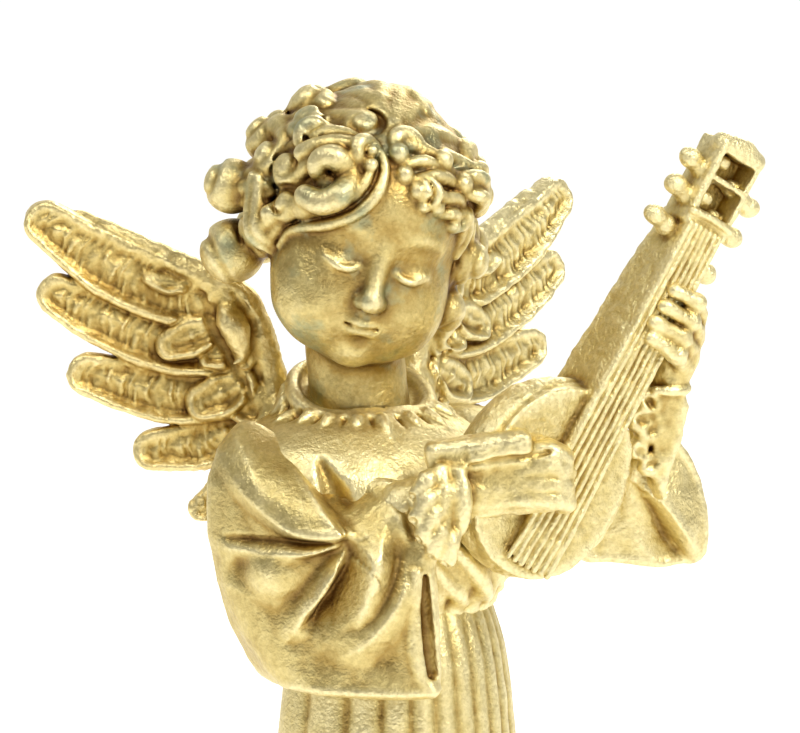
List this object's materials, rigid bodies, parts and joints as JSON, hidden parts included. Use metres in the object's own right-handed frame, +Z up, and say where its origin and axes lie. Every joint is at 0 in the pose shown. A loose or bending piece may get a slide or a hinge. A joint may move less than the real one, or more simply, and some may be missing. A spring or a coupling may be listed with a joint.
{
  "type": "angel figurine",
  "caption": "Gilded resin child angel in a pleated robe playing a round-backed lute, with curly hair and feathered wings, standing on a turned plinth.",
  "frame": {"origin": "centre of the felt pad's underside, where the figurine stands", "axes": "+Z up through the figure, -Y the way the figure faces, +X towards its left arm and the lute's neck"},
  "size_m": [0.0574, 0.041, 0.1194],
  "materials": {
    "gilt_resin": "satin gold paint over cast resin, rubbed bright on the edges and darker in the recesses",
    "steel": "plain drawn wire",
    "felt": "green self-adhesive felt"
  },
  "bodies": {
    "root": {"plinth": "gilt_resin", "robe_skirt": "gilt_resin", "robe_bodice": "gilt_resin", "head": "gilt_resin", "right_sleeve": "gilt_resin", "left_sleeve": "gilt_resin", "right_hand": "gilt_resin", "left_hand": "gilt_resin", "right_wing": "gilt_resin", "left_wing": "gilt_resin", "lute": "gilt_resin", "base_screw": "steel", "neck_dowel": "steel", "waist_dowel": "steel", "right_shoulder_dowel": "steel", "left_shoulder_dowel": "steel", "right_wing_dowel": "steel", "left_wing_dowel": "steel", "right_wrist_dowel": "steel", "left_wrist_dowel": "steel", "lute_dowel": "steel", "felt_pad": "felt"}
  },
  "joints": []
}
